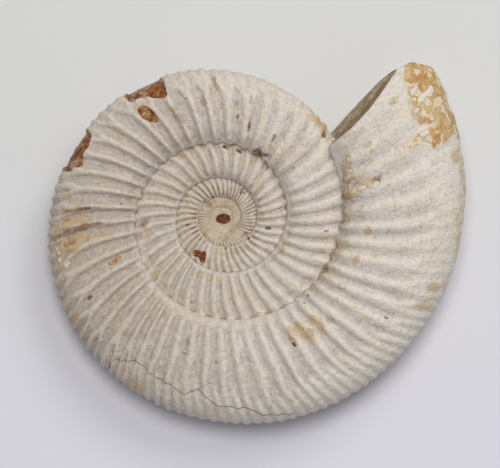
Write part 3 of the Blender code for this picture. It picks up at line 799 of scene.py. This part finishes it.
class Nodes:
    """A short way to write a node tree."""

    def __init__(self, material):
        material.use_nodes = True
        self.tree = material.node_tree
        self.shader = self.tree.nodes["Principled BSDF"]
        self.where = self.add("TexCoord", output="Object")

    def add(self, kind, inputs=(), output=0, **settings):
        """Add a node with some inputs, and give back one of its outputs."""
        node = self.tree.nodes.new("ShaderNode" + kind)
        for key, value in settings.items():
            setattr(node, key, value)
        for key, value in dict(inputs).items():
            self.put(node.inputs[key], value)
        return node.outputs[output]

    def put(self, socket, value):
        if isinstance(value, bpy.types.NodeSocket):
            self.tree.links.new(value, socket)
        else:
            socket.default_value = value

    def mark(self, name, output="Fac"):
        return self.add("Attribute", output=output, attribute_name=name)

    def math(self, operation, a, b=0.0):
        return self.add("Math", {0: a, 1: b}, operation=operation)

    def times(self, a, b):
        return self.math("MULTIPLY", a, b)

    def plus(self, a, b):
        return self.math("ADD", a, b)

    def shifted(self, value, texture, amount):
        """A value moved up and down by a texture around its middle."""
        return self.plus(value, self.times(self.math("SUBTRACT", texture, 0.5), amount))

    def ramp(self, value, low, high, to_low=0.0, to_high=1.0):
        inputs = {"Value": value, "From Min": low, "From Max": high, "To Min": to_low, "To Max": to_high}
        return self.add("MapRange", inputs, interpolation_type="SMOOTHSTEP")

    def mix(self, share, first, second, depth=1.0, blend="MIX"):
        """One colour over another. Each is a socket, or holds sRGB values up to 255."""
        first, second = (c if isinstance(c, bpy.types.NodeSocket) else srgb(*c) for c in (first, second))
        share = share if depth == 1.0 else self.times(share, depth)
        return self.add("Mix", {0: share, 6: first, 7: second}, 2, data_type="RGBA", blend_type=blend)

    def noise(self, where, scale, detail=3.0, roughness=0.55, output="Fac"):
        inputs = {"Vector": where, "Scale": scale, "Detail": detail, "Roughness": roughness}
        return self.add("TexNoise", inputs, output)

    def distorted(self, where, source, scale, amount):
        inputs = {0: self.noise(source, scale, 2.0, 0.5, "Color"), 1: (amount, amount, 0.0), 2: where}
        return self.add("VectorMath", inputs, operation="MULTIPLY_ADD")

    def stretched(self, where, scale):
        return self.add("VectorMath", {0: where, 1: scale}, operation="MULTIPLY")


class ShellNodes(Nodes):
    """The shell's colour, laid on in layers, with the textures that the layers share."""

    def __init__(self, material):
        super().__init__(material)
        self.grain = self.mark("grain", "Vector")
        self.broad = self.noise(self.where, 110.0, 4.0)
        self.medium = self.noise(self.where, 420.0, 4.0)
        self.fine = self.noise(self.where, 1100.0, 4.0, 0.7)
        self.tiny = self.noise(self.where, 2600.0, 3.0, 0.7)
        self.streak = self.noise(self.stretched(self.grain, (1.5, 0.22, 1.0)), 1.0, 4.0, 0.6)
        self.thin_streak = self.noise(self.stretched(self.grain, (4.0, 0.5, 1.0)), 1.0, 3.0, 0.6)
        self.groove = self.uneven("groove", medium=0.4, fine=0.4)
        self.colour = None  # what is laid on so far

    def uneven(self, name, medium=0.0, fine=0.0):
        """One of the skin's marks, made uneven by the textures."""
        value = self.mark(name)
        for texture, amount in ((self.medium, medium), (self.fine, fine)):
            if amount:
                value = self.shifted(value, texture, amount)
        return value

    def speckled(self, first, second, low=0.4, high=0.6):
        return self.mix(self.ramp(self.fine, low, high), first, second)

    def lay(self, share, colour, depth=1.0):
        self.colour = self.mix(share, self.colour, colour, depth)


def lay_chalk_and_groove_shade(n):
    """Chalk: cream on the crests, greyer and cooler in the grooves, partly its own tone and partly painted
    shade.
    """
    # Painted shade in part: the deeper the groove, the greyer and cooler the colour.
    n.colour = n.mix(n.ramp(n.groove, 0.35, 1.0), (236, 228, 216), (214, 205, 199))
    cream = n.times(n.ramp(n.uneven("crest", medium=0.5), 0.55, 1.0), n.ramp(n.streak, 0.38, 0.58))
    n.lay(n.times(cream, n.ramp(n.broad, 0.4, 0.58, 0.2, 0.75)), (238, 226, 204))
    n.lay(n.ramp(n.broad, 0.5, 0.7), (231, 217, 193), 0.4)
    n.lay(n.ramp(n.noise(n.where, 190.0, 5.0, 0.6), 0.55, 0.7), (235, 230, 225), 0.6)


def lay_grime_and_groove_shade(n):
    """Streaks along the ribs in the grooves, partly dirt and partly painted shade, blotches, white flakes and
    specks, then a tone that darkens with age.
    """
    ageing = n.mark("ageing")
    # Brown streaks only in the grooves: partly dirt and partly painted shade that deepens the ribs.
    streaks = n.times(n.ramp(n.thin_streak, 0.52, 0.72), n.ramp(n.groove, 0.1, 0.9))
    n.lay(n.times(streaks, n.ramp(ageing, 0.0, 0.8, 0.6, 1.0)), (176, 152, 124))
    n.lay(n.times(n.ramp(n.fine, 0.54, 0.7), n.ramp(ageing, 0.0, 0.8, 0.25, 0.38)), (196, 174, 142))
    n.lay(n.ramp(n.fine, 0.48, 0.34), (248, 244, 240), 0.4)
    n.lay(n.ramp(n.tiny, 0.63, 0.68), (138, 106, 74), 0.7)
    aged = n.math("MINIMUM", n.math("MAXIMUM", n.shifted(ageing, n.medium, 1.2), 0.0), 1.2)
    tone = n.mix(n.ramp(n.groove, 0.3, 0.9), (231, 226, 218), (229, 222, 212))
    n.colour = n.mix(aged, n.colour, tone, 0.8, blend="MULTIPLY")


def lay_brown_centre_and_inner_shade(n):
    n.lay(n.ramp(n.uneven("from_centre", medium=5.0), 7.0, 2.5), (208, 184, 148), 0.6)
    # Dark brown in the grooves of the inner whorls: partly brown infill and partly painted shade in the
    # grooves.
    inner = n.times(n.ramp(n.mark("from_centre"), 12.0, 6.0), n.ramp(n.groove, 0.45, 0.9))
    n.lay(n.times(inner, n.ramp(n.medium, 0.4, 0.58, 0.1, 1.0)), (128, 98, 66), 0.58)


def lay_seams(n):
    """Dark brown in the grooves beside the seams, partly dirt and partly painted shade where the whorls meet,
    and a paler wall beside them.
    """
    seam = n.ramp(n.uneven("seam", fine=0.9), 0.6, 0.0)
    hollows = n.ramp(n.shifted(n.groove, n.medium, 1.8), 0.2, 0.9)
    # Painted shade and dirt together: brown where one whorl meets the next, in its grooves.
    n.lay(n.times(seam, n.times(hollows, n.ramp(n.broad, 0.4, 0.56))), (158, 118, 78), 0.6)
    wall = n.times(n.ramp(n.mark("over"), 0.535, 0.515), n.ramp(n.fine, 0.6, 0.45))
    n.lay(wall, (236, 231, 226), 0.6)


def lay_stains(n):
    for name, (_, colour, depth) in STAINS.items():
        n.lay(n.ramp(n.uneven(name, medium=1.3, fine=1.3), 0.15, 1.15), colour, depth)
    n.lay(n.ramp(n.uneven("dot", fine=0.8), -0.02, 0.12), (112, 80, 54), 0.85)


def lay_cracks(n):
    """The cracks placed one by one, then a network of hairlines near the broken end."""
    for name, (_, width, depth) in CRACK_LINES.items():
        off = n.math("ABSOLUTE", n.uneven(name, medium=0.5))
        line = n.times(n.ramp(off, width * 1.6, width * 0.5), n.mark("near_" + name))
        n.lay(line, (122, 106, 92), depth)
    sizes = {
        "Vector": n.distorted(n.grain, n.where, 300.0, 1.6), "Scale": 1.0, "Mortar Size": 0.06,
        "Mortar Smooth": 1.0, "Brick Width": 2.6, "Row Height": 1.7,
    }
    tiles = n.add("TexBrick", sizes, "Fac")
    edges = n.times(n.times(tiles, n.ramp(n.medium, 0.42, 0.56)), n.ramp(n.mark("crazed"), -0.5, 2.0))
    n.lay(edges, (164, 148, 130), 0.45)


def lay_crust(n):
    """The crust at the broken end, and pale nodules outlined in ochre."""
    rock = n.speckled((198, 152, 88), (221, 191, 140))
    rock = n.mix(n.ramp(n.medium, 0.52, 0.6), rock, (196, 138, 76), 0.7)
    rock = n.mix(n.ramp(n.broad, 0.45, 0.6), rock, (222, 200, 158), 0.7)
    cells = n.noise(n.where, 400.0, 3.0, 0.55)
    outline = n.math("ABSOLUTE", n.math("SUBTRACT", cells, 0.505))
    rock = n.mix(n.ramp(cells, 0.52, 0.57), rock, (236, 220, 188))
    rock = n.mix(n.ramp(outline, 0.028, 0.008), rock, (182, 136, 74), 0.5)
    n.lay(n.ramp(n.uneven("crust", medium=3.0, fine=1.5), -0.4, 0.5), rock)
    nodule = n.uneven("nodule", medium=1.6, fine=1.0)
    n.lay(n.ramp(nodule, -0.35, -0.05), (192, 156, 100), 0.6)
    n.lay(n.ramp(nodule, -0.02, 0.1), (236, 227, 212))


def lay_chips(n):
    """Chips down to brown rock, which is greyer near the middle of the back."""
    rock = n.speckled((116, 64, 36), (166, 106, 62), 0.42, 0.6)
    pale = n.times(n.ramp(n.medium, 0.5, 0.6), n.ramp(n.tiny, 0.42, 0.55))
    rock = n.mix(pale, rock, (212, 182, 138))
    outer = n.ramp(n.uneven("over", medium=0.16), 0.94, 1.0)
    rock = n.mix(outer, rock, n.speckled((136, 116, 94), (190, 176, 156)), 0.75)
    amber = n.ramp(n.mark("amber"), 0.0, 0.15)
    rock = n.mix(amber, rock, n.speckled((176, 118, 54), (222, 176, 108), 0.42, 0.6))
    chip = n.math("MAXIMUM", n.mark("edge_chip"), n.mark("chip"))
    n.lay(n.ramp(n.shifted(chip, n.fine, 0.5), -0.03, 0.08), rock)
    gap = n.ramp(n.uneven("gap", fine=0.6), -0.1, 0.2)
    n.lay(gap, n.speckled((92, 68, 52), (164, 144, 122)))


def lay_pit(n):
    """The pit, with a pale ring around it."""
    from_pit = n.uneven("from_pit", medium=0.7)
    n.lay(n.ramp(from_pit, 2.7, 2.1), (210, 192, 164), 0.7)
    n.lay(n.ramp(from_pit, 1.75, 1.5), n.speckled((98, 54, 28), (138, 92, 56), 0.4, 0.65))


def lay_broken_face(n):
    face = n.mix(n.ramp(n.noise(n.where, 500.0, 4.0), 0.35, 0.7), (162, 142, 112), (206, 188, 158))
    near_rim = n.ramp(n.uneven("broken", medium=1.2), 1.4, 1.8)
    face = n.mix(near_rim, face, n.speckled((124, 92, 60), (192, 160, 116), 0.45, 0.6), 0.75)
    face = n.mix(n.ramp(n.fine, 0.5, 0.65), face, (116, 92, 64), 0.6)
    n.lay(n.ramp(n.mark("broken"), 0.2, 0.8), face)


def shell_relief(n):
    bump = n.plus(n.times(n.noise(n.where, 450.0, 6.0, 0.65), 1.2), n.times(n.fine, 0.25))
    bump = n.plus(bump, n.times(n.thin_streak, 0.3))
    flakes = n.noise(n.stretched(n.grain, (1.2, 0.7, 1.0)), 1.0, 3.0, 0.5)
    bump = n.plus(bump, n.times(n.ramp(flakes, 0.49, 0.53), 0.18))
    return n.add("Bump", {"Height": bump, "Distance": 0.00045, "Strength": 1.0})


def shell_material():
    material = bpy.data.materials.new("chalky_shell")
    n = ShellNodes(material)
    for lay in (
        lay_chalk_and_groove_shade, lay_grime_and_groove_shade, lay_brown_centre_and_inner_shade, lay_seams, lay_stains, lay_cracks, lay_crust, lay_chips,
        lay_pit, lay_broken_face,
    ):
        lay(n)
    n.put(n.shader.inputs["Base Color"], n.colour)
    n.put(n.shader.inputs["Roughness"], 0.8)
    n.put(n.shader.inputs["Specular IOR Level"], 0.3)
    n.put(n.shader.inputs["Normal"], shell_relief(n))
    return material


# ---------------- floor, light, camera

HALF_FLOOR = 1.5
LIGHT_SIZE = 0.45
# Lights that point at the origin: name, place, power and colour
AREA_LIGHTS = (
    ("softbox", (-0.01, 0.23, 1.18), 6.2, (1.0, 0.985, 0.97)),
    ("key", (0.33, 0.49, 0.68), 2.3, (1.0, 0.985, 0.96)),
)
SKY_COLOUR = (0.94, 0.95, 1.0, 1.0)
SKY_STRENGTH = 0.26


def floor_material():
    material = bpy.data.materials.new("pale_floor")
    n = Nodes(material)
    # Painted light: the floor is paler and bluer towards the front and greyer towards the back.
    height = n.add("SeparateXYZ", {0: n.where}, "Y")
    height = n.shifted(height, n.noise(n.where, 6.0, 2.0), 0.05)
    n.put(n.shader.inputs["Base Color"], n.mix(n.ramp(height, -0.07, 0.05), (229, 228, 239), (221, 222, 220)))
    n.put(n.shader.inputs["Roughness"], 0.6)
    return material


def add_floor():
    mesh = bpy.data.meshes.new("floor")
    corners = [(x * HALF_FLOOR, y * HALF_FLOOR, 0) for x, y in ((-1, -1), (1, -1), (1, 1), (-1, 1))]
    mesh.from_pydata(corners, [], [(0, 1, 2, 3)])
    mesh.materials.append(floor_material())
    new_object("floor", mesh)


def add_lights():
    for name, place, power, colour in AREA_LIGHTS:
        light = bpy.data.lights.new(name, "AREA")
        light.shape = "DISK"
        light.size = LIGHT_SIZE
        light.energy = power
        light.color = colour
        lamp = new_object(name, light)
        lamp.location = place
        lamp.rotation_euler = (-Vector(place)).to_track_quat("-Z", "Y").to_euler()
    world = bpy.data.worlds.new("studio")
    world.use_nodes = True
    background = world.node_tree.nodes["Background"]
    background.inputs["Color"].default_value = SKY_COLOUR
    background.inputs["Strength"].default_value = SKY_STRENGTH
    bpy.context.scene.world = world


PIXEL = 0.0002242  # metres per pixel of the picture, at the middle of the shell's height
PICTURE_WIDTH = 500
SIGHT_HEIGHT = 0.012
CAMERA_DISTANCE = 0.75
CAMERA_ELEVATION = 87.5
PICTURE_CENTRE = (27.0 * PIXEL, -16.5 * PIXEL)  # from the spiral's centre


def add_camera():
    camera = bpy.data.cameras.new("camera")
    camera.sensor_width = 36.0
    camera.lens = camera.sensor_width * CAMERA_DISTANCE / (PIXEL * PICTURE_WIDTH)
    camera.clip_start = 0.01
    view = new_object("camera", camera)
    target = Vector((COIL_CENTRE.x + PICTURE_CENTRE[0], COIL_CENTRE.y + PICTURE_CENTRE[1], SIGHT_HEIGHT))
    up = math.radians(CAMERA_ELEVATION)
    view.location = target + CAMERA_DISTANCE * Vector((0, -math.cos(up), math.sin(up)))
    view.rotation_euler = (math.pi / 2 - up, 0, 0)
    bpy.context.scene.camera = view


shell = build_shell()
shell.data.materials.append(shell_material())
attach(shell, "root")
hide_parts("ammonite")
add_floor()
add_lights()
add_camera()
bpy.context.scene.view_settings.view_transform = "Standard"
